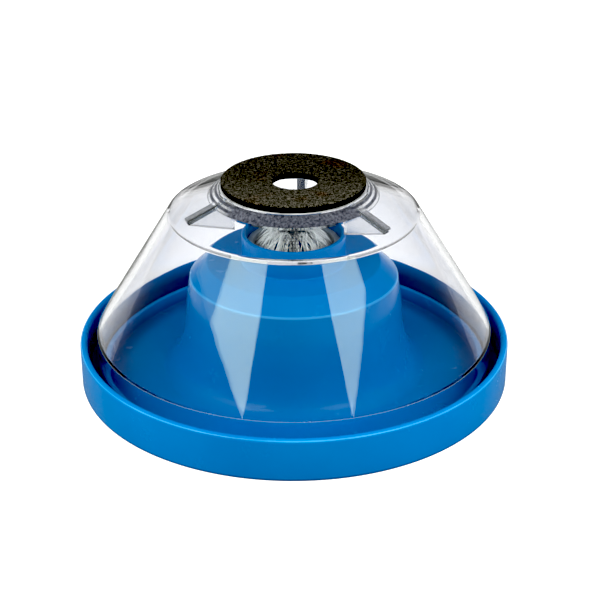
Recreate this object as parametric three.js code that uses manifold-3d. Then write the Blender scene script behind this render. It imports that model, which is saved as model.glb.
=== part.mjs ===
// Drill dust catcher. A blue tray with a hollow tower slides up over a drill bit, a clear cover lifts
// off the tray for emptying, and a foam ring on top seals against the ceiling. Dust falls past the
// foam ring and the cover's hole into the ring-shaped bowl, and a ring of bristles round the bit keeps
// it out of the tower.
// Millimetres, +Z up. The origin is the centre of the tray's underside.
import * as THREE from 'three';
import { mergeVertices } from 'three/addons/utils/BufferGeometryUtils.js';
import Module from 'manifold-3d';

// ---- Driving dimensions ----
const FACETS = 72;              // facets round every turned piece
const GAP = 0.05;               // air between pieces that rest on each other

// Dust tray: outer rim, floor, locating ring for the cover
const TRAY_RADIUS = 52.5;
const RIM_HEIGHT = 10.5;
const RIM_WALL = 1.75;
const FOOT_CHAMFER = 0.4;
const FLOOR = 1.8;              // floor thickness
const SEAT_OUTER_RADIUS = 46.4;
const SEAT_WALL = 1.4;
const SEAT_HEIGHT = 5.5;

// Tower in the middle of the tray, open from below
const TOWER_FOOT_RADIUS = 32.3;
// Radius and height of points on the flank, which stands nearly upright and then flares to its foot.
const TOWER_FLANK = [[29.2, 5], [27.4, 10], [26.5, 16], [26, 21]];
const BROW_RADIUS = 25.2;       // where the flank turns in to the chamfer
const BROW_HEIGHT = 26.1;
const TOWER_TOP_RADIUS = 21;
const TOWER_TOP = 29.6;
const TOWER_WALL = 1.9;

// Neck on the tower, which holds the brush
const NECK_RADIUS = 12.6;
const NECK_WALL = 1.1;
const NECK_TOP = 35.9;
const SHELF_RADIUS = 9.2;       // bore through the tower's top, which is the shelf that the brush rests on

// Brush: a ring with bristle tufts pointing inwards and up
const BRUSH_OUTER_RADIUS = 11.35;
const BRUSH_INNER_RADIUS = 9.7;
const BRUSH_TOP = 33.6;
const TUFTS = 24;
const TUFT_ROOT = { radius: 9.15, height: 32, thickness: 1.5 };
const TUFT_TIP = { radius: 3.6, height: 36.6, thickness: 0.84 };
const TUFT_SIDES = 8;

// Clear cover: skirt inside the tray, cone, sloping top, raised land for the foam
const COVER_WALL = 1.6;
const SKIRT_RADIUS = 48.3;
const SKIRT_TOP = 12.6;
const SHOULDER_RADIUS = 29.8;
const SHOULDER_HEIGHT = 42.9;
const SHOULDER_ROUNDING = 1.2;
const LAND_FOOT_RADIUS = 20.4;
const LAND_FOOT_HEIGHT = 46.6;
const LAND_RADIUS = 17.8;
const LAND_TOP = 48.5;
const COVER_HOLE_RADIUS = 8.5;

// Three webs under the cover's top, one every third of a turn
const RIB_ANGLES = [83, 203, 323];
const RIB_THICKNESS = 2;
const RIB_PROUD = 0.5;          // height of a rib's back above the sloping top
const RIB_TIP_RADIUS = 27;
const RIB_TIP_FOOT = 42.6;
const RIB_INNER_RADIUS = 15.4;
const RIB_INNER_FOOT = 39.6;

// Foam ring and the adhesive tape that holds it
const TAPE_RADIUS = 17.55;
const TAPE_THICKNESS = 0.2;
const FOAM_RADIUS = 17.25;
const FOAM_TOP = 50.5;
const FOAM_HOLE_RADIUS = 5.4;
const FOAM_HOLE_CENTRE = [0.4, -1.2];   // punched a little off centre

// ---- Shared shapes ----
const wasm = await Module();
wasm.setup();

const part = new THREE.Group();

function finish(colour, roughness, extra = {}) {
  return new THREE.MeshStandardMaterial({ color: colour, roughness, metalness: 0, ...extra });
}

function add(name, geometry, material) {
  const mesh = new THREE.Mesh(geometry, material);
  mesh.name = name;
  part.add(mesh);
  return mesh;
}

// Points on an arc in the radius-height plane, angles in degrees from +radius.
function arc(radius, height, size, from, to, steps) {
  return new THREE.EllipseCurve(radius, height, size, size,
    THREE.MathUtils.degToRad(from), THREE.MathUtils.degToRad(to), to < from).getPoints(steps);
}

// A ring or shell turned about Z from an outline of [radius, height] points, anticlockwise.
function turned(outline) {
  const points = outline.flat().map((p) => (p.isVector2 ? p : new THREE.Vector2(...p)));
  points.push(points[0].clone());
  return new THREE.LatheGeometry(points, FACETS).rotateX(Math.PI / 2);
}

// Wraps an outline point so that flat() in turned() leaves it whole.
function at(radius, height) {
  return new THREE.Vector2(radius, height);
}

function toSolid(geometry) {
  const bare = geometry.clone();
  bare.deleteAttribute('normal');
  bare.deleteAttribute('uv');
  const merged = mergeVertices(bare);
  return new wasm.Manifold(new wasm.Mesh({
    numProp: 3,
    vertProperties: new Float32Array(merged.attributes.position.array),
    triVerts: new Uint32Array(merged.index.array),
  }));
}

function fromSolid(solid) {
  const mesh = solid.getMesh();
  const geometry = new THREE.BufferGeometry();
  geometry.setAttribute('position', new THREE.BufferAttribute(mesh.vertProperties, 3));
  geometry.setIndex(new THREE.BufferAttribute(mesh.triVerts, 1));
  geometry.computeVertexNormals();
  return geometry;
}

// ---- Dust tray ----
function trayGeometry() {
  const rimInner = TRAY_RADIUS - RIM_WALL;
  const rimRounding = RIM_WALL / 2;
  const seatInner = SEAT_OUTER_RADIUS - SEAT_WALL;
  const seatEdge = 0.3;
  const neckInner = NECK_RADIUS - NECK_WALL;
  const neckEdge = 0.25;
  const ceiling = TOWER_TOP - FLOOR;
  const flank = new THREE.SplineCurve([
    at(TOWER_FOOT_RADIUS, FLOOR),
    ...TOWER_FLANK.map(([radius, height]) => at(radius, height)),
    at(BROW_RADIUS, BROW_HEIGHT),
  ]).getPoints(12);
  const flankInside = flank.map((p) => at(p.x - TOWER_WALL, p.y)).reverse();
  return turned([
    at(TRAY_RADIUS - FOOT_CHAMFER, 0),
    at(TRAY_RADIUS, FOOT_CHAMFER),
    ...arc(TRAY_RADIUS - rimRounding, RIM_HEIGHT - rimRounding, rimRounding, 0, 180, 6),
    at(rimInner, FLOOR),
    at(SEAT_OUTER_RADIUS, FLOOR),
    at(SEAT_OUTER_RADIUS, SEAT_HEIGHT - seatEdge),
    at(SEAT_OUTER_RADIUS - seatEdge, SEAT_HEIGHT),
    at(seatInner + seatEdge, SEAT_HEIGHT),
    at(seatInner, SEAT_HEIGHT - seatEdge),
    at(seatInner, FLOOR),
    ...flank,
    at(TOWER_TOP_RADIUS, TOWER_TOP),
    at(NECK_RADIUS, TOWER_TOP),
    at(NECK_RADIUS, NECK_TOP - neckEdge),
    at(NECK_RADIUS - neckEdge, NECK_TOP),
    at(neckInner + neckEdge, NECK_TOP),
    at(neckInner, NECK_TOP - neckEdge),
    at(neckInner, TOWER_TOP),
    at(SHELF_RADIUS, TOWER_TOP),
    at(SHELF_RADIUS, ceiling),
    at(TOWER_TOP_RADIUS - TOWER_WALL / 2, ceiling),
    ...flankInside,
    at(TOWER_FOOT_RADIUS - TOWER_WALL / 2, 0),
  ]);
}

add('dust_tray', trayGeometry(), finish(0x0a73bd, 0.3));

// ---- Brush ----
add('brush_ring', turned([
  at(BRUSH_OUTER_RADIUS, TOWER_TOP + GAP),
  at(BRUSH_OUTER_RADIUS, BRUSH_TOP),
  at(BRUSH_INNER_RADIUS, BRUSH_TOP),
  at(BRUSH_INNER_RADIUS, TOWER_TOP + GAP),
]), finish(0xc9cfd2, 0.5));

const bristle = finish(0xd8dee0, 0.6);
const tuftRun = TUFT_ROOT.radius - TUFT_TIP.radius;
const tuftRise = TUFT_TIP.height - TUFT_ROOT.height;
const tuftLength = Math.hypot(tuftRun, tuftRise);
const tuftLean = Math.atan2(tuftRun, tuftRise);

for (let i = 0; i < TUFTS; i += 1) {
  const tuft = add(
    `bristle_tuft_${String(i + 1).padStart(2, '0')}`,
    new THREE.CylinderGeometry(TUFT_TIP.thickness / 2, TUFT_ROOT.thickness / 2, tuftLength, TUFT_SIDES)
      .rotateX(Math.PI / 2),
    bristle,
  );
  const turn = new THREE.Group();
  tuft.position.set((TUFT_ROOT.radius + TUFT_TIP.radius) / 2, 0, (TUFT_ROOT.height + TUFT_TIP.height) / 2);
  tuft.rotation.y = -tuftLean;
  turn.rotation.z = (i + 0.5) * 2 * Math.PI / TUFTS;
  turn.add(tuft);
  part.add(turn);
}

// ---- Clear cover ----
function slopeHeight(radius) {
  const fall = (LAND_FOOT_HEIGHT - SHOULDER_HEIGHT) / (SHOULDER_RADIUS - LAND_FOOT_RADIUS);
  return LAND_FOOT_HEIGHT - (radius - LAND_FOOT_RADIUS) * fall;
}

// The shoulder is a true arc that touches the cone and the sloping top.
function shoulderArc(inset) {
  const coneAngle = THREE.MathUtils.radToDeg(
    Math.atan2(SHOULDER_RADIUS - SKIRT_RADIUS, SHOULDER_HEIGHT - SKIRT_TOP)) * -1;
  const topAngle = THREE.MathUtils.radToDeg(
    Math.atan2(LAND_FOOT_RADIUS - SHOULDER_RADIUS, LAND_FOOT_HEIGHT - SHOULDER_HEIGHT)) * -1;
  const half = THREE.MathUtils.degToRad((topAngle - coneAngle) / 2);
  const middle = THREE.MathUtils.degToRad((topAngle + coneAngle) / 2);
  const back = (SHOULDER_ROUNDING + COVER_WALL) / Math.cos(half);
  return arc(SHOULDER_RADIUS - back * Math.cos(middle), SHOULDER_HEIGHT - back * Math.sin(middle),
    SHOULDER_ROUNDING + COVER_WALL - inset, coneAngle, topAngle, 4);
}

function coverShell() {
  const skirtFoot = FLOOR + 0.3;
  const skirtInner = SKIRT_RADIUS - COVER_WALL;
  const innerSkirtTop = SKIRT_TOP - 0.45;
  const landFootInner = at(LAND_FOOT_RADIUS - 0.7, LAND_FOOT_HEIGHT - COVER_WALL + 0.15);
  const landInner = at(LAND_RADIUS - 0.6, LAND_TOP - COVER_WALL);
  return turned([
    at(SKIRT_RADIUS, skirtFoot),
    at(SKIRT_RADIUS, SKIRT_TOP),
    ...shoulderArc(0),
    at(LAND_FOOT_RADIUS, LAND_FOOT_HEIGHT),
    at(LAND_RADIUS, LAND_TOP),
    at(COVER_HOLE_RADIUS, LAND_TOP),
    at(COVER_HOLE_RADIUS, LAND_TOP - COVER_WALL),
    landInner,
    landFootInner,
    ...shoulderArc(COVER_WALL).reverse(),
    at(skirtInner, innerSkirtTop),
    at(skirtInner, skirtFoot),
  ]);
}

function rib(angle) {
  const backInnerRadius = LAND_RADIUS + 0.7;
  const outline = new THREE.Shape([
    at(RIB_TIP_RADIUS, RIB_TIP_FOOT),
    at(RIB_TIP_RADIUS, slopeHeight(RIB_TIP_RADIUS) + RIB_PROUD),
    at(backInnerRadius, slopeHeight(backInnerRadius) + RIB_PROUD),
    at(RIB_INNER_RADIUS, LAND_TOP - COVER_WALL / 2),
    at(RIB_INNER_RADIUS, RIB_INNER_FOOT),
  ]);
  return new THREE.ExtrudeGeometry(outline, { depth: RIB_THICKNESS, bevelEnabled: false })
    .translate(0, 0, -RIB_THICKNESS / 2)
    .rotateX(Math.PI / 2)
    .rotateZ(THREE.MathUtils.degToRad(angle));
}

const coverSolid = RIB_ANGLES.reduce(
  (solid, angle) => solid.add(toSolid(rib(angle))), toSolid(coverShell()));
add('clear_cover', fromSolid(coverSolid), finish(0xe6ecf2, 0.08, { transparent: true, opacity: 0.3 }));

// ---- Foam ring on its adhesive tape ----
const tapeFoot = LAND_TOP + GAP;
const foamFoot = tapeFoot + TAPE_THICKNESS + GAP;

add('foam_tape', turned([
  at(TAPE_RADIUS, tapeFoot),
  at(TAPE_RADIUS, tapeFoot + TAPE_THICKNESS),
  at(COVER_HOLE_RADIUS, tapeFoot + TAPE_THICKNESS),
  at(COVER_HOLE_RADIUS, tapeFoot),
]), finish(0xdcdce2, 0.7));

const foamOutline = new THREE.Shape().absarc(0, 0, FOAM_RADIUS, 0, 2 * Math.PI);
foamOutline.holes.push(new THREE.Path().absarc(...FOAM_HOLE_CENTRE, FOAM_HOLE_RADIUS, 0, 2 * Math.PI));
add('foam_pad', new THREE.ExtrudeGeometry(foamOutline, {
  depth: FOAM_TOP - foamFoot, bevelEnabled: false, curveSegments: FACETS / 2,
}).translate(0, 0, foamFoot), finish(0x2b2923, 0.95));

export default part;
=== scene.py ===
import math

import bmesh
import bpy
from mathutils import Matrix, Vector, noise


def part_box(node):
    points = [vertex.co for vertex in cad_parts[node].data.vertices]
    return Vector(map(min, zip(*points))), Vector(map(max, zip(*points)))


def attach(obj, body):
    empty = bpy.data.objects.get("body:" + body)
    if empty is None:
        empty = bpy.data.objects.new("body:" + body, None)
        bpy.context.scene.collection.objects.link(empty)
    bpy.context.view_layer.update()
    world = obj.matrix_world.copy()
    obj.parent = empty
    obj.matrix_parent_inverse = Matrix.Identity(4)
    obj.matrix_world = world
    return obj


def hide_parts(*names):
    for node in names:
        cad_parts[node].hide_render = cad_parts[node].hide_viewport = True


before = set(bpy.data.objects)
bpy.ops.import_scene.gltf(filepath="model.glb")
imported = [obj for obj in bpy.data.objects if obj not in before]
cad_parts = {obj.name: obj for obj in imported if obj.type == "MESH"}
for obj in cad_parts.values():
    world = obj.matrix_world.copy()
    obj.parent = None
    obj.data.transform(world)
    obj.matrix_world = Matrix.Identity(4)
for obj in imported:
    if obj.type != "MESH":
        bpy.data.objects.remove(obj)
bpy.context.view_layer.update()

# ---- Dust tray ----
# One moulding in glossy blue plastic: rim, floor, locating ring, hollow tower and the neck that
# holds the brush. Its sharp mould edges are broken by small roundings, and the rim is a full half
# round. The section is drawn in millimetres and turned about the drill's axis.
MM = 0.001
FULL_TURN = 2 * math.pi
TURN_STEPS = 288
ROUND_STEPS = 5

tray_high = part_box("dust_tray")[1]
TRAY_RADIUS = tray_high.x / MM
NECK_TOP = tray_high.z / MM
RIM_HEIGHT = 10.5
RIM_WALL = 1.75
FLOOR_TOP = 1.8
SEAT_OUTER, SEAT_INNER, SEAT_TOP = 46.4, 45.0, 5.5
TOWER_FLANK = [(32.3, 1.8), (29.2, 5), (27.4, 10), (26.5, 16), (26.0, 21), (25.2, 26.1)]
TOWER_WALL = 1.9
TOWER_TOP_RADIUS, TOWER_TOP = 21.0, 29.6
NECK_RADIUS, NECK_WALL = 12.6, 1.1
SHELF_RADIUS = 9.2
BLUE_DEEP, BLUE_BRIGHT = (0.0003, 0.171, 0.480, 1), (0.0008, 0.196, 0.530, 1)
# Colour of the painted shade in the groove, low in the bowl and at the wall's foot.
BLUE_PAINTED_SHADE = (0.0001, 0.030, 0.155, 1)
# Colour of the painted highlight along the tower's brow and the rim's lip.
BLUE_EDGE_HIGHLIGHT = (0.07, 0.42, 0.80, 1)


def through_points(points, steps):
    """A smooth line through (radius, height) points, with so many steps between each two."""
    first = (2 * points[0][0] - points[1][0], 2 * points[0][1] - points[1][1])
    last = (2 * points[-1][0] - points[-2][0], 2 * points[-1][1] - points[-2][1])
    held = [Vector(p) for p in [first, *points, last]]
    line = []
    for before, start, end, after in zip(held, held[1:], held[2:], held[3:]):
        for k in range(steps):
            t = k / steps
            line.append(0.5 * (2 * start + (end - before) * t
                               + (2 * before - 5 * start + 4 * end - after) * t ** 2
                               + (3 * start - before - 3 * end + after) * t ** 3))
    return [*line, held[-2]]


def broken_edges(corners):
    """A closed section in millimetres from (radius, height, rounding) corners."""
    section = []
    for before, corner, after in zip(corners[-1:] + corners[:-1], corners, corners[1:] + corners[:1]):
        here = Vector(corner[:2])
        if len(corner) < 3:
            section.append(here)
            continue
        back, ahead = (Vector(before[:2]) - here).normalized(), (Vector(after[:2]) - here).normalized()
        half = back.angle(ahead) / 2
        centre = here + (back + ahead).normalized() * corner[2] / math.sin(half)
        start = here + back * corner[2] / math.tan(half) - centre
        sweep = math.copysign(math.pi - 2 * half, -back.x * ahead.y + back.y * ahead.x)
        for k in range(ROUND_STEPS + 1):
            section.append(centre + Matrix.Rotation(sweep * k / ROUND_STEPS, 2) @ start)
    return section


def turned_piece(name, section, steps=TURN_STEPS):
    """A piece turned about Z from an anticlockwise section in millimetres."""
    rows = len(section)
    places = [(p[0] * MM * math.cos(FULL_TURN * i / steps), p[0] * MM * math.sin(FULL_TURN * i / steps),
               p[1] * MM) for i in range(steps) for p in section]
    faces = [(i * rows + j, (i + 1) % steps * rows + j, (i + 1) % steps * rows + (j + 1) % rows,
              i * rows + (j + 1) % rows) for i in range(steps) for j in range(rows)]
    mesh = bpy.data.meshes.new(name)
    mesh.from_pydata(places, [], faces)
    piece = bpy.data.objects.new(name, mesh)
    bpy.context.scene.collection.objects.link(piece)
    return piece


def smooth_but_sharp(piece, angle):
    """Smooth faces, with a sharp line wherever two faces meet at more than the angle in degrees."""
    piece.data.shade_smooth()
    piece.data.set_sharp_from_angle(angle=math.radians(angle))


flank = [tuple(p) for p in through_points(TOWER_FLANK, 6)]
flank_inside = [(r - TOWER_WALL, z) for r, z in reversed(flank)]
rim_middle = TRAY_RADIUS - RIM_WALL / 2
half_round = [(rim_middle + RIM_WALL / 2 * math.cos(a), RIM_HEIGHT - RIM_WALL / 2 * (1 - math.sin(a)))
              for a in [math.pi * k / 12 for k in range(13)]]
ceiling = TOWER_TOP - FLOOR_TOP
tray = turned_piece("tray_shell", broken_edges([
    (TRAY_RADIUS, 0, 0.5), *half_round, (TRAY_RADIUS - RIM_WALL, FLOOR_TOP, 0.6),
    (SEAT_OUTER, FLOOR_TOP, 0.15), (SEAT_OUTER, SEAT_TOP, 0.35), (SEAT_INNER, SEAT_TOP, 0.35),
    (SEAT_INNER, FLOOR_TOP, 0.5), (flank[0][0] + 0.4, FLOOR_TOP), *flank[1:-1],
    (*flank[-1], 0.5), (TOWER_TOP_RADIUS, TOWER_TOP, 1.0), (NECK_RADIUS, TOWER_TOP, 0.5),
    (NECK_RADIUS, NECK_TOP, 0.4), (NECK_RADIUS - NECK_WALL, NECK_TOP, 0.35),
    (NECK_RADIUS - NECK_WALL, TOWER_TOP, 0.2), (SHELF_RADIUS, TOWER_TOP, 0.3),
    (SHELF_RADIUS, ceiling, 0.3), (TOWER_TOP_RADIUS - TOWER_WALL / 2, ceiling, 1.0),
    *flank_inside, (flank[0][0] - TOWER_WALL / 2, 0, 0.4),
]))
smooth_but_sharp(tray, 32)


def node_maker(tree):
    """A function that adds a node, and sets or links its inputs by name, or by number as i0, i1."""
    def node(kind, settings=None, **inputs):
        made = tree.nodes.new(kind)
        for key, value in (settings or {}).items():
            setattr(made, key, value)
        for key, value in inputs.items():
            socket = made.inputs[int(key[1:])] if key[0] == "i" and key[1:].isdigit() else made.inputs[key]
            if isinstance(value, bpy.types.NodeSocket):
                tree.links.new(value, socket)
            else:
                socket.default_value = value
        return made

    return node


def new_finish(name):
    """A new material, its node tree, its Principled shader and a maker of linked nodes."""
    material = bpy.data.materials.new(name)
    material.use_nodes = True
    tree = material.node_tree
    return material, tree, tree.nodes["Principled BSDF"], node_maker(tree)


def grain(node, place, size, detail=2.0, roughness=0.5):
    """Noise from 0 to 1 whose features are so many millimetres across."""
    return node("ShaderNodeTexNoise", Vector=place, Scale=1 / (size * MM), Detail=detail,
                Roughness=roughness).outputs["Fac"]


def between(node, value, low, high, start=0.3, end=0.7):
    """Value taken from start..end to low..high, and held there."""
    return node("ShaderNodeMapRange", Value=value, i1=start, i2=end, i3=low, i4=high).outputs["Result"]


def maths(node, operation, *terms):
    """One sum on one to three terms, each a number or another node's output."""
    inputs = {f"i{k}": term for k, term in enumerate(terms)}
    return node("ShaderNodeMath", {"operation": operation}, **inputs).outputs[0]


def blended(node, share, first, second):
    """A colour between the first, at share 0, and the second, at share 1."""
    return node("ShaderNodeMix", {"data_type": "RGBA"}, i0=share, i6=first, i7=second).outputs[2]


def from_axis(node, place):
    """How far a place is from the drill's axis."""
    flat = node("ShaderNodeVectorMath", {"operation": "MULTIPLY"}, i0=place, i1=(1, 1, 0)).outputs[0]
    return node("ShaderNodeVectorMath", {"operation": "LENGTH"}, i0=flat).outputs["Value"]


def blue_moulding():
    """Glossy blue plastic with faint flow marks, a fine mould texture and a few dull scuffs.

    Shade is painted into its colour in the groove round the locating ring, low in the bowl and at
    the wall's foot, and a highlight is painted along the tower's brow and the rim's lip.
    """
    material, tree, shader, node = new_finish("blue_plastic")
    place = node("ShaderNodeTexCoord").outputs["Object"]

    def product(first, *others):
        for other in others:
            first = maths(node, "MULTIPLY", first, other)
        return first

    def distance_to(corner_radius, corner_height):
        return node("ShaderNodeVectorMath", {"operation": "DISTANCE"}, i0=across,
                    i1=(corner_radius * MM, 0, corner_height * MM)).outputs["Value"]

    flow = grain(node, place, 22, 3)
    speck = grain(node, place, 0.9, 4)
    tone = blended(node, between(node, flow, 0, 1), BLUE_DEEP, BLUE_BRIGHT)
    radius = from_axis(node, place)
    height = node("ShaderNodeSeparateXYZ", Vector=place).outputs["Z"]
    across = node("ShaderNodeCombineXYZ", X=radius, Z=height).outputs[0]
    # Painted shade: the colour is darkened where less light reaches, in the groove round the locating ring,
    # low by the tower, in the bowl by the ring and at the wall's foot.
    groove_shade = product(between(node, radius, 0, 1, (SEAT_OUTER - 0.1) * MM, (SEAT_OUTER + 0.1) * MM),
                        between(node, radius, 1, 0, (TRAY_RADIUS - RIM_WALL + 0.1) * MM,
                                (TRAY_RADIUS - RIM_WALL + 0.3) * MM),
                        between(node, height, 1, 0, 6.5 * MM, (RIM_HEIGHT - 0.4) * MM))
    low = product(between(node, radius, 1, 0, (SEAT_INNER - 0.2) * MM, (SEAT_INNER - 0.1) * MM),
                  between(node, height, 0.2, 0, FLOOR_TOP * MM, 16 * MM))
    bowl_shade = product(between(node, radius, 0, 0.55, 37 * MM, SEAT_INNER * MM),
                      between(node, radius, 1, 0, (SEAT_INNER + 0.1) * MM, (SEAT_INNER + 0.2) * MM),
                      between(node, height, 1, 0, 2.5 * MM, (SEAT_TOP - 0.4) * MM))
    foot_shade = product(between(node, radius, 0, 0.6, (TRAY_RADIUS - 1) * MM, (TRAY_RADIUS - 0.8) * MM),
                      between(node, height, 1, 0, 0.4 * MM, 0.9 * MM))
    painted_shade = groove_shade
    for mask in (foot_shade, bowl_shade, low):
        painted_shade = maths(node, "MAXIMUM", painted_shade, mask)
    tone = blended(node, painted_shade, tone, BLUE_PAINTED_SHADE)
    # Painted highlight: paler lines along the tower's brow and the rim's lip stand in for the glint of light
    # on these edges.
    brow = between(node, distance_to(*TOWER_FLANK[-1]), 0.55, 0, 0.22 * MM, 0.42 * MM)
    lip = between(node, distance_to(TRAY_RADIUS - 0.2, RIM_HEIGHT - 0.3), 0.75, 0, 0.12 * MM, 0.26 * MM)
    painted_highlight = maths(node, "ADD", brow, product(lip, between(node, flow, 0.3, 1)))
    tree.links.new(blended(node, painted_highlight, tone, BLUE_EDGE_HIGHLIGHT), shader.inputs["Base Color"])
    scuff = grain(node, place, 6, 6, 0.7)
    dull = maths(node, "ADD", between(node, flow, 0.2, 0.26), between(node, scuff, 0, 0.14, 0.55, 0.8))
    tree.links.new(dull, shader.inputs["Roughness"])
    ripple = node("ShaderNodeBump", Height=flow, Strength=0.25, Distance=0.0002).outputs[0]
    skin = node("ShaderNodeBump", Height=speck, Strength=0.12, Distance=0.00003, Normal=ripple).outputs[0]
    tree.links.new(skin, shader.inputs["Normal"])
    shader.inputs["IOR"].default_value = 1.49
    shader.inputs["Specular IOR Level"].default_value = 0.3
    return material


tray.data.materials.append(blue_moulding())
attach(tray, "tray")
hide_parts("dust_tray")

# ---- Brush ring ----
# A plain ring of light grey plastic, pressed into the neck until it stands on the shelf. It is
# turned like the tray, and the bristles spring from its inner wall.
brush_low, brush_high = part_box("brush_ring")
BRUSH_OUTER = brush_high.x / MM
BRUSH_INNER = 9.7
GREY_DEEP, GREY_PALE = (0.36, 0.42, 0.47, 1), (0.50, 0.55, 0.58, 1)
brush_ring = turned_piece("brush_ring_body", broken_edges([
    (BRUSH_OUTER, brush_low.z / MM, 0.25), (BRUSH_OUTER, brush_high.z / MM, 0.35),
    (BRUSH_INNER, brush_high.z / MM, 0.35), (BRUSH_INNER, brush_low.z / MM, 0.25),
]))
smooth_but_sharp(brush_ring, 32)


def grey_moulding():
    """Plain light grey plastic with a fine grain and slightly uneven tone."""
    material, tree, shader, node = new_finish("brush_plastic")
    place = node("ShaderNodeTexCoord").outputs["Object"]
    tone = blended(node, between(node, grain(node, place, 3, 4), 0, 1), GREY_DEEP, GREY_PALE)
    tree.links.new(tone, shader.inputs["Base Color"])
    tree.links.new(between(node, grain(node, place, 1.2), 0.38, 0.52), shader.inputs["Roughness"])
    skin = node("ShaderNodeBump", Height=grain(node, place, 0.25, 3), Strength=0.2, Distance=0.00003)
    tree.links.new(skin.outputs[0], shader.inputs["Normal"])
    return material


brush_ring.data.materials.append(grey_moulding())
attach(brush_ring, "tray")
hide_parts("brush_ring")

# ---- Bristles ----
# White nylon bristles in tufts round the ring. Each leans inwards and up, and splays from its
# neighbours, so that the tips close the neck round the drill bit.
TUFTS = 24
NYLON_GREY, NYLON_WHITE = (0.86, 0.90, 0.92, 1), (1, 1, 1, 1)


def bristle_tree(material):
    """Geometry nodes: every bristle is a thin bent rod from its tuft's root to its own tip."""
    tree = bpy.data.node_groups.new("bristle_brush", "GeometryNodeTree")
    tree.is_modifier = True
    sizes = {
        "Tufts": ("NodeSocketInt", TUFTS), "Bristles in a Tuft": ("NodeSocketInt", 12),
        "Points": ("NodeSocketInt", 7), "Seed": ("NodeSocketInt", 7),
        "Root Radius": ("NodeSocketFloat", 9.62 * MM), "Root Height": ("NodeSocketFloat", 32.0 * MM),
        "Root Spread": ("NodeSocketFloat", 0.85 * MM), "Tip Radius": ("NodeSocketFloat", 4.0 * MM),
        "Tip Height": ("NodeSocketFloat", 36.4 * MM), "Tip Spread": ("NodeSocketFloat", 3.0 * MM),
        "Tip Stagger": ("NodeSocketFloat", 1.7 * MM), "Bow": ("NodeSocketFloat", 1.5 * MM),
        "Bristle Radius": ("NodeSocketFloat", 0.115 * MM),
    }
    for label, (kind, value) in sizes.items():
        tree.interface.new_socket(label, in_out="INPUT", socket_type=kind).default_value = value
    tree.interface.new_socket("Geometry", in_out="OUTPUT", socket_type="NodeSocketGeometry")
    given = tree.nodes.new("NodeGroupInput").outputs
    node = node_maker(tree)

    def sum_of(operation, *terms):
        return maths(node, operation, *terms)

    index = node("GeometryNodeInputIndex").outputs[0]
    bristle = sum_of("FLOOR", sum_of("DIVIDE", index, given["Points"]))
    along = sum_of("DIVIDE", sum_of("FLOORED_MODULO", index, given["Points"]),
                   sum_of("SUBTRACT", given["Points"], 1.0))
    tuft = sum_of("FLOOR", sum_of("DIVIDE", bristle, given["Bristles in a Tuft"]))

    def chance(offset):
        """A fixed random number from -1 to 1 for each bristle, gathered towards the middle."""
        numbers = [node("FunctionNodeRandomValue", {"data_type": "FLOAT"}, i2=-0.5, i3=0.5, ID=bristle,
                        Seed=sum_of("ADD", given["Seed"], float(offset + step))).outputs[1]
                   for step in (0, 50)]
        return sum_of("ADD", *numbers)

    def mixed(start, end):
        """A value that goes from start to end along the bristle."""
        return sum_of("ADD", start, sum_of("MULTIPLY", sum_of("SUBTRACT", end, start), along))

    def spread_by(offset, size):
        return sum_of("MULTIPLY", chance(offset), size)

    root_side = spread_by(1, given["Root Spread"])
    root_height = sum_of("ADD", given["Root Height"], spread_by(2, given["Root Spread"]))
    tip_radius = sum_of("ADD", given["Tip Radius"], spread_by(3, given["Tip Stagger"]))
    tip_side = spread_by(4, given["Tip Spread"])
    tip_height = sum_of("ADD", given["Tip Height"], spread_by(5, given["Tip Stagger"]))
    bulge = sum_of("MULTIPLY", sum_of("MULTIPLY", along, sum_of("SUBTRACT", 1.0, along)), 4.0)
    place = node("ShaderNodeCombineXYZ", X=mixed(given["Root Radius"], tip_radius),
                 Y=sum_of("MULTIPLY_ADD", bulge, spread_by(6, given["Bow"]), mixed(root_side, tip_side)),
                 Z=sum_of("MULTIPLY_ADD", bulge, spread_by(7, given["Bow"]), mixed(root_height, tip_height)))
    turn = sum_of("DIVIDE", sum_of("MULTIPLY", sum_of("ADD", tuft, 0.5), FULL_TURN), given["Tufts"])
    turned = node("ShaderNodeVectorRotate", {"rotation_type": "Z_AXIS"}, Vector=place.outputs[0], Angle=turn)
    bristles = sum_of("MULTIPLY", given["Tufts"], given["Bristles in a Tuft"])
    points = node("GeometryNodePoints", Count=sum_of("MULTIPLY", bristles, given["Points"]),
                  Position=turned.outputs[0])
    lines = node("GeometryNodePointsToCurves", Points=points.outputs[0], i1=bristle, Weight=along)
    section = node("GeometryNodeCurvePrimitiveCircle", Resolution=4, Radius=given["Bristle Radius"])
    rods = node("GeometryNodeCurveToMesh", Curve=lines.outputs[0],
                **{"Profile Curve": section.outputs[0], "Fill Caps": True})
    round_rods = node("GeometryNodeSetShadeSmooth", Geometry=rods.outputs[0])
    real = node("GeometryNodeRealizeInstances", Geometry=round_rods.outputs[0])
    finished = node("GeometryNodeSetMaterial", Geometry=real.outputs[0], Material=material)
    tree.links.new(finished.outputs[0], node("NodeGroupOutput").inputs[0])
    return tree


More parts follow.
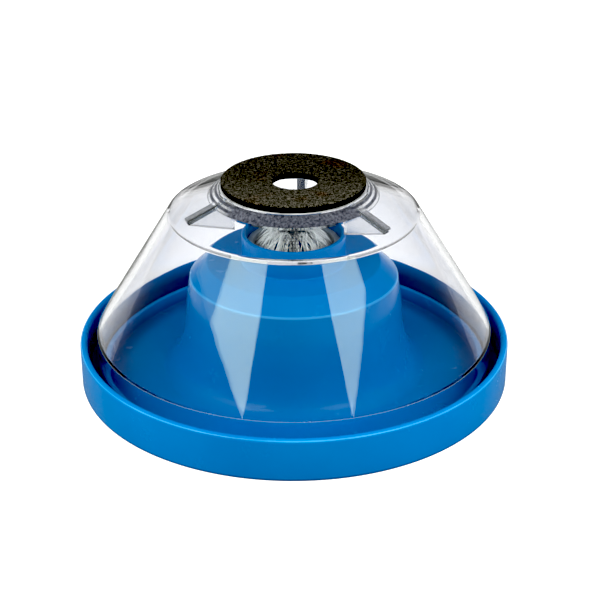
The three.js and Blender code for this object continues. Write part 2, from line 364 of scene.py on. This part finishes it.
def white_nylon():
    """White nylon that lets a little light in, with shade painted at the roots and in patches near the
    middle.
    """
    material, tree, shader, node = new_finish("white_nylon")
    place = node("ShaderNodeTexCoord").outputs["Object"]
    tone = blended(node, between(node, grain(node, place, 0.6, 3), 0, 1), NYLON_GREY, NYLON_WHITE)
    split = node("ShaderNodeSeparateXYZ", Vector=place).outputs
    # Painted shade: the bristles are darkened at the roots, under the land, and in patches near the middle,
    # where the tufts part over the dark hollow.
    root_shade = between(node, split["Z"], 0.25, 1, 32.5 * MM, 34.5 * MM)
    aside = between(node, maths(node, "ABSOLUTE", split["X"]), 0, 1, 0, 4.5 * MM)
    middle_shade = maths(node, "ADD", aside, between(node, grain(node, place, 0.5, 2), -0.2, 0.7))
    painted_shade_factor = maths(node, "MULTIPLY", root_shade, between(node, middle_shade, 0.12, 1, 0.2, 0.7))
    tone = node("ShaderNodeVectorMath", {"operation": "SCALE"}, i0=tone, Scale=painted_shade_factor).outputs[0]
    tree.links.new(tone, shader.inputs["Base Color"])
    tree.links.new(between(node, grain(node, place, 0.3), 0.3, 0.5), shader.inputs["Roughness"])
    shader.inputs["Subsurface Weight"].default_value = 0.3
    shader.inputs["Subsurface Radius"].default_value = (0.3, 0.3, 0.3)
    shader.inputs["Subsurface Scale"].default_value = MM
    return material


def grown_mesh(name, tree):
    """The plain mesh that a geometry node tree makes."""
    seed_object = bpy.data.objects.new("grower", bpy.data.meshes.new("grower"))
    bpy.context.scene.collection.objects.link(seed_object)
    seed_object.modifiers.new("grow", "NODES").node_group = tree
    view = bpy.context.evaluated_depsgraph_get()
    mesh = bpy.data.meshes.new_from_object(seed_object.evaluated_get(view))
    bpy.data.objects.remove(seed_object)
    piece = bpy.data.objects.new(name, mesh)
    bpy.context.scene.collection.objects.link(piece)
    return piece


bristles = grown_mesh("bristles", bristle_tree(white_nylon()))
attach(bristles, "tray")
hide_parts(*[f"bristle_tuft_{i + 1:02d}" for i in range(TUFTS)])

# ---- Clear cover ----
# One clear moulding: a skirt that stands in the tray, a cone, a sloping top and a raised land for
# the foam. Three ribs cross the sloping top and hang below it as webs towards the neck.
cover_low, cover_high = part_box("clear_cover")
SKIRT_RADIUS = cover_high.x / MM
LAND_TOP = cover_high.z / MM
SKIRT_FOOT = cover_low.z / MM
COVER_WALL = 1.6
SKIRT_TOP = 12.6
SHOULDER_RADIUS, SHOULDER_HEIGHT = 29.8, 42.9
LAND_FOOT_RADIUS, LAND_FOOT_HEIGHT = 20.4, 46.6
LAND_RADIUS, COVER_HOLE = 17.8, 8.5
RIB_ANGLES = (83, 203, 323)
RIB_THICKNESS = 2.0
RIB_PROUD = 0.5
RIB_TIP_RADIUS, RIB_TIP_FOOT = 27.0, 42.6
RIB_INNER_RADIUS, RIB_INNER_FOOT = 15.4, 39.6
TOP_FALL = (LAND_FOOT_HEIGHT - SHOULDER_HEIGHT) / (SHOULDER_RADIUS - LAND_FOOT_RADIUS)
CLEAR_TINT = (0.915, 0.915, 0.93, 1)
# Colours of the painted grey that stands in for the dark seen by refraction in the clear plastic.
PAINTED_GREY_DARK, PAINTED_GREY_PALE = (0.006, 0.007, 0.014, 1), (0.17, 0.175, 0.215, 1)
LIGHT_LET_THROUGH = (0.90, 0.91, 0.92, 1)

cover = turned_piece("cover_shell", broken_edges([
    (SKIRT_RADIUS, SKIRT_FOOT, 0.3), (SKIRT_RADIUS, SKIRT_TOP, 0.5),
    (SHOULDER_RADIUS + 0.05, SHOULDER_HEIGHT + 0.05, 1.6), (LAND_FOOT_RADIUS, LAND_FOOT_HEIGHT, 0.4),
    (LAND_RADIUS, LAND_TOP, 0.25), (COVER_HOLE, LAND_TOP, 0.2), (COVER_HOLE, LAND_TOP - COVER_WALL, 0.3),
    (LAND_RADIUS - 0.6, LAND_TOP - COVER_WALL, 0.5),
    (LAND_FOOT_RADIUS - 0.7, LAND_FOOT_HEIGHT - COVER_WALL + 0.15, 0.5),
    (SHOULDER_RADIUS - 0.8, SHOULDER_HEIGHT - COVER_WALL, 0.5),
    (SKIRT_RADIUS - COVER_WALL, SKIRT_TOP - 0.45, 0.5), (SKIRT_RADIUS - COVER_WALL, SKIRT_FOOT, 0.3),
]))


def top_height(radius):
    """Height of the cover's sloping top, which is carried on in under the land."""
    return LAND_FOOT_HEIGHT - (radius - LAND_FOOT_RADIUS) * TOP_FALL


def rib_plate(angle):
    """One rib as a flat plate that stands along its radius."""
    back_radius = LAND_RADIUS + 0.7
    outline = [(RIB_TIP_RADIUS, RIB_TIP_FOOT),
               (RIB_TIP_RADIUS, top_height(RIB_TIP_RADIUS) + RIB_PROUD),
               (back_radius, top_height(back_radius) + RIB_PROUD),
               (RIB_INNER_RADIUS, LAND_TOP - COVER_WALL / 2), (RIB_INNER_RADIUS, RIB_INNER_FOOT)]
    plate = bmesh.new()
    sides = [[plate.verts.new((r * MM, y * MM, z * MM)) for r, z in outline]
             for y in (-RIB_THICKNESS / 2, RIB_THICKNESS / 2)]
    plate.faces.new(sides[0])
    plate.faces.new(sides[1][::-1])
    for k in range(len(outline)):
        plate.faces.new((sides[0][k - 1], sides[1][k - 1], sides[1][k], sides[0][k]))
    bmesh.ops.recalc_face_normals(plate, faces=plate.faces)
    bmesh.ops.transform(plate, matrix=Matrix.Rotation(math.radians(angle), 4, "Z"), verts=plate.verts)
    mesh = bpy.data.meshes.new("rib")
    plate.to_mesh(mesh)
    plate.free()
    return bpy.data.objects.new("rib", mesh)


ribs = [rib_plate(angle) for angle in RIB_ANGLES]
for rib in ribs:
    bpy.context.scene.collection.objects.link(rib)
    join = cover.modifiers.new("rib", "BOOLEAN")
    join.operation = "UNION"
    join.solver = "EXACT"
    join.object = rib
moulded = bpy.data.meshes.new_from_object(cover.evaluated_get(bpy.context.evaluated_depsgraph_get()))
cover.modifiers.clear()
cover.data = moulded
for rib in ribs:
    bpy.data.objects.remove(rib)
smooth_but_sharp(cover, 24)

# Grey is painted on the bevel round the land and the backs of the ribs, standing in for the dark
# that refraction gives the clear plastic there. The ribs' sides and the skirt's corner are frosted.
cover.data.attributes.new("smoke", "FLOAT", "FACE")
cover.data.attributes.new("frost", "FLOAT", "FACE")
for face in cover.data.polygons:
    radius = math.hypot(face.center.x, face.center.y) / MM
    turn = math.degrees(math.atan2(face.center.y, face.center.x))
    aside = min(abs(math.sin(math.radians(turn - angle))) for angle in RIB_ANGLES) * radius
    on_bevel = LAND_RADIUS - 0.1 < radius < LAND_FOOT_RADIUS + 0.1 and face.normal.z > 0.3
    on_rib = (aside < RIB_THICKNESS / 2 + 0.05 and LAND_FOOT_RADIUS - 2 < radius < RIB_TIP_RADIUS + 0.3
              and face.center.z / MM > top_height(radius) + 0.14)
    on_side = (aside < RIB_THICKNESS / 2 + 0.05 and abs(face.normal.z) < 0.3
               and RIB_INNER_RADIUS - 0.1 < radius < RIB_TIP_RADIUS + 0.1)
    on_corner = radius > SKIRT_RADIUS - 0.6 and abs(face.center.z / MM - SKIRT_TOP) < 0.35
    cover.data.attributes["smoke"].data[face.index].value = 1.0 if on_bevel else 0.85 * on_rib
    cover.data.attributes["frost"].data[face.index].value = 0.8 if on_side else 1.0 * on_corner


def clear_moulding():
    """Clear plastic with fine handling scratches. Lamps shine through it on what stands inside.

    Painted grey, standing in for the dark that refraction gives it, darkens it and makes it less
    clear. The grey is mottled, and at the cover's two sides it is broken into painted rings. Frost
    makes it rougher and a little less clear.
    """
    material, tree, shader, node = new_finish("clear_plastic")
    place = node("ShaderNodeTexCoord").outputs["Object"]
    marked = node("ShaderNodeAttribute", {"attribute_name": "smoke"}).outputs["Fac"]
    frost = node("ShaderNodeAttribute", {"attribute_name": "frost"}).outputs["Fac"]
    radius = from_axis(node, place)
    aside = maths(node, "ABSOLUTE", node("ShaderNodeSeparateXYZ", Vector=place).outputs["X"])
    # Painted rings: at the cover's two sides the painted grey is broken into rings.
    at_side = between(node, maths(node, "DIVIDE", aside, radius), 0, 0.85, 0.72, 0.95)
    rings = maths(node, "SINE", maths(node, "MULTIPLY", radius, FULL_TURN / (1.1 * MM)))
    ringed = maths(node, "MULTIPLY", at_side, between(node, radius, 1, 0, 20.4 * MM, 20.6 * MM))
    gap = maths(node, "MULTIPLY", ringed, between(node, rings, 0, 1, -0.3, 0.5))
    smoke = maths(node, "MULTIPLY", marked, maths(node, "SUBTRACT", 1.0, gap))
    mottle = between(node, grain(node, place, 0.6, 4, 0.75), 0, 1, 0.38, 0.66)
    grey = blended(node, mottle, PAINTED_GREY_DARK, PAINTED_GREY_PALE)
    tree.links.new(blended(node, smoke, CLEAR_TINT, grey), shader.inputs["Base Color"])
    clear = maths(node, "MULTIPLY_ADD", frost, -0.12, between(node, smoke, 1.0, 0.3, 0, 1))
    tree.links.new(clear, shader.inputs["Transmission Weight"])
    shader.inputs["IOR"].default_value = 1.5
    scuff = grain(node, place, 5, 6, 0.7)
    worn = maths(node, "MULTIPLY_ADD", smoke, 0.3, between(node, scuff, 0.015, 0.12, 0.6, 0.8))
    worn = maths(node, "MULTIPLY_ADD", frost, 0.25, worn)
    tree.links.new(worn, shader.inputs["Roughness"])
    ripple = node("ShaderNodeBump", Height=grain(node, place, 14), Strength=0.12, Distance=0.0002)
    tree.links.new(ripple.outputs[0], shader.inputs["Normal"])
    ray = node("ShaderNodeLightPath").outputs
    passing = maths(node, "MAXIMUM", ray["Is Shadow Ray"], ray["Is Diffuse Ray"])
    open_way = node("ShaderNodeBsdfTransparent", Color=LIGHT_LET_THROUGH).outputs[0]
    both = node("ShaderNodeMixShader", i0=passing, i1=shader.outputs[0], i2=open_way).outputs[0]
    tree.links.new(both, tree.nodes["Material Output"].inputs["Surface"])
    return material


cover.data.materials.clear()
cover.data.materials.append(clear_moulding())
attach(cover, "cover")
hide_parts("clear_cover")

# ---- Foam tape ----
# A thin ring of double-sided tape under the foam, with the same outline as the foam. Its cut edge
# shows as a broken white line.
tape_low, tape_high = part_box("foam_tape")
tape = turned_piece("tape_ring", broken_edges([
    (tape_high.x / MM, tape_low.z / MM, 0.05), (tape_high.x / MM, tape_high.z / MM, 0.05),
    (COVER_HOLE, tape_high.z / MM, 0.05), (COVER_HOLE, tape_low.z / MM, 0.05),
]))
smooth_but_sharp(tape, 40)
TAPE_GREY, TAPE_WHITE = (0.10, 0.095, 0.09, 1), (0.72, 0.72, 0.76, 1)


def tape_film():
    """Dull film, grey under the foam and white along most of its cut edge."""
    material, tree, shader, node = new_finish("adhesive_tape")
    place = node("ShaderNodeTexCoord").outputs["Object"]
    edge = between(node, from_axis(node, place), 0, 1, 16.9 * MM, 17.3 * MM)
    worn = between(node, grain(node, place, 2.5, 3), 0.35, 1)
    tone = blended(node, maths(node, "MULTIPLY", edge, worn), TAPE_GREY, TAPE_WHITE)
    tree.links.new(tone, shader.inputs["Base Color"])
    tree.links.new(between(node, grain(node, place, 0.5, 3), 0.45, 0.7), shader.inputs["Roughness"])
    return material


tape.data.materials.append(tape_film())
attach(tape, "cover")
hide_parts("foam_tape")

# ---- Foam ring ----
# A ring punched from a sheet of dark closed-cell foam, stuck on the land. Its cut faces are rough
# with opened cells, its edges are a little soft, and the hole is punched slightly off centre.
foam_low, foam_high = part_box("foam_pad")
FOAM_RADIUS = foam_high.x
FOAM_HOLE_RADIUS = 5.4 * MM
FOAM_HOLE_CENTRE = Vector((0.4 * MM, -1.2 * MM, 0))
FOAM_STEPS_ROUND = 400
FOAM_STEPS_ACROSS = 40
FOAM_STEPS_UP = 6
FOAM_EDGE = 0.25 * MM
FOAM_ROUGHNESS = 0.055 * MM
FOAM_DARK = (0.012, 0.0115, 0.008, 1)
FOAM_RIM, FOAM_RUST = (0.180, 0.163, 0.136, 1), (0.165, 0.095, 0.055, 1)


def foam_ring():
    """The ring as a closed net of small faces, each point shifted by the foam's grain."""
    across = [k / FOAM_STEPS_ACROSS for k in range(FOAM_STEPS_ACROSS + 1)]
    up = [k / FOAM_STEPS_UP for k in range(1, FOAM_STEPS_UP)]
    # Each section point is (share of the way from hole to rim, share of the height).
    section = ([(s, 0.0) for s in across] + [(1.0, h) for h in up]
               + [(s, 1.0) for s in reversed(across)] + [(0.0, h) for h in reversed(up)])
    places = []
    for i in range(FOAM_STEPS_ROUND):
        turn = FULL_TURN * i / FOAM_STEPS_ROUND
        ray = Vector((math.cos(turn), math.sin(turn), 0))
        inner = FOAM_HOLE_CENTRE + ray * FOAM_HOLE_RADIUS
        outer = ray * FOAM_RADIUS
        width = (outer - inner).length
        for share, height in section:
            edge = min(share, 1 - share) * width
            lift = min(height, 1 - height) * (foam_high.z - foam_low.z)
            soft = FOAM_EDGE * max(0.0, 1 - edge / FOAM_EDGE) * max(0.0, 1 - lift / FOAM_EDGE)
            point = inner.lerp(outer, share)
            point += ray * (soft if share < 0.5 else -soft) * 0.5
            point.z = foam_low.z + (foam_high.z - foam_low.z) * height
            point.z += -soft * 0.5 if height > 0.5 else soft * 0.5
            grainy = noise.fractal(point / (0.55 * MM), 0.8, 2.0, 3) - 0.5
            depth = FOAM_ROUGHNESS * max(-1.4, min(0.0, grainy))
            if height > 0.5:
                point.z += depth
            elif 0 < height:
                point += ray * (-depth if share < 0.5 else depth)
            places.append(point)
    rows = len(section)
    faces = [(i * rows + j, i * rows + (j + 1) % rows, (i + 1) % FOAM_STEPS_ROUND * rows + (j + 1) % rows,
              (i + 1) % FOAM_STEPS_ROUND * rows + j) for i in range(FOAM_STEPS_ROUND) for j in range(rows)]
    mesh = bpy.data.meshes.new("foam_ring")
    mesh.from_pydata(places, [], faces)
    net = bmesh.new()
    net.from_mesh(mesh)
    bmesh.ops.recalc_face_normals(net, faces=net.faces)
    net.to_mesh(mesh)
    net.free()
    piece = bpy.data.objects.new("foam_ring", mesh)
    bpy.context.scene.collection.objects.link(piece)
    return piece


def dark_foam():
    """Dark matt foam with paler, here and there rusty, rims round the cut cells.

    Shade is painted into its colour: its sides are darker than its top, and its back is darker than its
    front.
    """
    material, tree, shader, node = new_finish("foam")
    place = node("ShaderNodeTexCoord").outputs["Object"]
    cells = node("ShaderNodeTexVoronoi", {"feature": "DISTANCE_TO_EDGE"}, Vector=place,
                 Scale=1 / (0.48 * MM)).outputs["Distance"]
    mottle = grain(node, place, 0.8, 4, 0.75)
    lit = maths(node, "MULTIPLY", between(node, cells, 1, 0, 0.02, 0.22),
                between(node, mottle, 0.05, 1, 0.43, 0.6))
    rust = between(node, grain(node, place, 7, 2), 0, 0.7, 0.58, 0.72)
    tone = blended(node, lit, FOAM_DARK, blended(node, rust, FOAM_RIM, FOAM_RUST))
    split = node("ShaderNodeSeparateXYZ", Vector=place).outputs
    # Painted shade: the sides are darkened to about an eighth of the top, and the top grows darker from
    # front to back.
    top = between(node, split["Z"], 0.12, 1, foam_high.z - 0.5 * MM, foam_high.z - 0.15 * MM)
    painted_back_shade = between(node, split["Y"], 1.25, 0.6, -FOAM_RADIUS, 0.2 * FOAM_RADIUS)
    shade = maths(node, "MULTIPLY", top, painted_back_shade)
    tone = node("ShaderNodeVectorMath", {"operation": "SCALE"}, i0=tone, Scale=shade).outputs[0]
    tree.links.new(tone, shader.inputs["Base Color"])
    tree.links.new(between(node, mottle, 0.8, 1.0), shader.inputs["Roughness"])
    pits = node("ShaderNodeBump", Height=cells, Strength=0.6, Distance=0.00012).outputs[0]
    rough = node("ShaderNodeBump", Height=mottle, Strength=0.5, Distance=0.00015, Normal=pits).outputs[0]
    tree.links.new(rough, shader.inputs["Normal"])
    shader.inputs["Specular IOR Level"].default_value = 0.25
    return material


foam = foam_ring()
smooth_but_sharp(foam, 50)
foam.data.materials.append(dark_foam())
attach(foam, "cover")
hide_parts("foam_pad")

# ---- Studio ----
# A plain white floor, a surround that is white behind and darker in front, three softboxes whose
# reflections give the cone its bright strips, three fills that nothing reflects, and a camera.
FLOOR_SIZE = 4.0
PANEL_DISTANCE = 0.9
FILL_DISTANCE = 1.2
DARK_SIDE = 0.28
SOFTBOX_COLOUR = (0.84, 1.0, 0.74)


def white_floor():
    """The pale floor. Its glow shows to the camera and through the cover, and lights nothing."""
    mesh = bpy.data.meshes.new("floor")
    half = FLOOR_SIZE / 2
    mesh.from_pydata([(-half, -half, 0), (half, -half, 0), (half, half, 0), (-half, half, 0)], [],
                     [(0, 1, 2, 3)])
    floor = bpy.data.objects.new("floor", mesh)
    bpy.context.scene.collection.objects.link(floor)
    material, tree, shader, node = new_finish("floor_white")
    shader.inputs["Base Color"].default_value = (0.35, 0.35, 0.35, 1)
    shader.inputs["Roughness"].default_value = 0.7
    shader.inputs["Specular IOR Level"].default_value = 0.2
    shader.inputs["Emission Color"].default_value = (1, 1, 1, 1)
    ray = node("ShaderNodeLightPath").outputs
    seen = maths(node, "MAXIMUM", ray["Is Camera Ray"], ray["Is Transmission Ray"])
    tree.links.new(seen, shader.inputs["Emission Strength"])
    mesh.materials.append(material)


def softbox(name, facing, corner, width, height, lean, brightness):
    """A panel that faces the collector, whose reflection makes a bright strip on the cone.

    Facing is its turn in degrees from straight in front. The corner is where its lower inner corner
    is, in metres sideways and up. Lean turns it in its own plane, and brightness is its radiance.
    """
    turn, tilt = math.radians(facing), math.radians(lean)
    side = math.copysign(1, facing)
    away = Vector((math.sin(turn), -math.cos(turn), 0))
    outwards = Vector((math.cos(turn), math.sin(turn), 0)) * side
    along = outwards * math.cos(tilt) + Vector((0, 0, math.sin(tilt)))
    upright = away.cross(along) * side
    lamp = bpy.data.lights.new(name, "AREA")
    lamp.shape = "RECTANGLE"
    lamp.size, lamp.size_y = width, height
    lamp.energy = brightness * math.pi * width * height
    lamp.color = SOFTBOX_COLOUR
    box = bpy.data.objects.new(name, lamp)
    bpy.context.scene.collection.objects.link(box)
    start = away * PANEL_DISTANCE + outwards * corner[0] + Vector((0, 0, corner[1]))
    box.location = start + along * width / 2 + upright * height / 2
    box.rotation_euler = Matrix((upright.cross(away), upright, away)).transposed().to_euler()


def studio_air():
    """White behind and below, darker in front and above, and white wherever the camera sees it."""
    world = bpy.data.worlds.new("studio")
    world.use_nodes = True
    tree = world.node_tree
    node = node_maker(tree)
    way = node("ShaderNodeTexCoord").outputs["Generated"]
    facing = node("ShaderNodeVectorMath", {"operation": "DOT_PRODUCT"}, i0=way, i1=(0, 0.6, -0.8))
    shade = node("ShaderNodeMapRange", {"interpolation_type": "SMOOTHSTEP"}, i0=facing.outputs["Value"],
                 i1=0.2, i2=0.7, i3=DARK_SIDE, i4=1.0).outputs["Result"]
    seen = maths(node, "MAXIMUM", node("ShaderNodeLightPath").outputs["Is Camera Ray"], shade)
    tree.links.new(seen, tree.nodes["Background"].inputs["Strength"])
    tree.nodes["Background"].inputs["Color"].default_value = (1, 1, 1, 1)
    bpy.context.scene.world = world


def soft_panel(name, azimuth, elevation, size, energy):
    """A broad soft panel aimed at the collector, which glossy and clear faces don't reflect."""
    lamp = bpy.data.lights.new(name, "AREA")
    lamp.shape = "SQUARE"
    lamp.size = size
    lamp.energy = energy
    panel = bpy.data.objects.new(name, lamp)
    bpy.context.scene.collection.objects.link(panel)
    turn, rise = math.radians(azimuth), math.radians(elevation)
    way = Vector((math.sin(turn) * math.cos(rise), -math.cos(turn) * math.cos(rise), math.sin(rise)))
    panel.location = way * FILL_DISTANCE
    panel.rotation_euler = panel.location.to_track_quat("Z", "Y").to_euler()
    panel.visible_glossy = False
    panel.visible_transmission = False


white_floor()
studio_air()
softbox("softbox_left", facing=-38, corner=(-0.160, 0.449), width=0.55, height=0.50,
        lean=7.4, brightness=4.4)
softbox("softbox_left_outer", facing=-38, corner=(0.385, 0.520), width=0.60, height=0.45,
        lean=7.4, brightness=0.9)
softbox("softbox_right", facing=48, corner=(-0.255, 0.450), width=0.46, height=0.45,
        lean=14.5, brightness=3.8)
soft_panel("fill_front", azimuth=0, elevation=50, size=1.2, energy=7)
soft_panel("fill_left", azimuth=-80, elevation=30, size=0.8, energy=11)
soft_panel("fill_right", azimuth=80, elevation=30, size=0.8, energy=12.5)

CAMERA_DISTANCE = 0.365
CAMERA_ELEVATION = 25.44
CAMERA_ROLL = -0.23
AIM_HEIGHT = 0.025
lens = bpy.data.cameras.new("camera")
lens.lens = 90
lens.sensor_width = 36
lens.shift_x = 0.0104
lens.shift_y = -0.0402
lens.clip_start = 0.01
camera = bpy.data.objects.new("camera", lens)
bpy.context.scene.collection.objects.link(camera)
elevation = math.radians(CAMERA_ELEVATION)
back = Vector((0, -math.cos(elevation), math.sin(elevation)))
camera.location = Vector((0, 0, AIM_HEIGHT)) + back * CAMERA_DISTANCE
level = back.to_track_quat("Z", "Y").to_matrix()
camera.rotation_euler = (level @ Matrix.Rotation(math.radians(CAMERA_ROLL), 3, "Z")).to_euler()
scene = bpy.context.scene
scene.camera = camera
scene.view_settings.view_transform = "Standard"
scene.view_settings.use_curve_mapping = True
scene.view_settings.curve_mapping.black_level = (0.045, 0.045, 0.045)
scene.view_settings.curve_mapping.update()
scene.cycles.max_bounces = 16
scene.cycles.transmission_bounces = 14
scene.cycles.transparent_max_bounces = 16
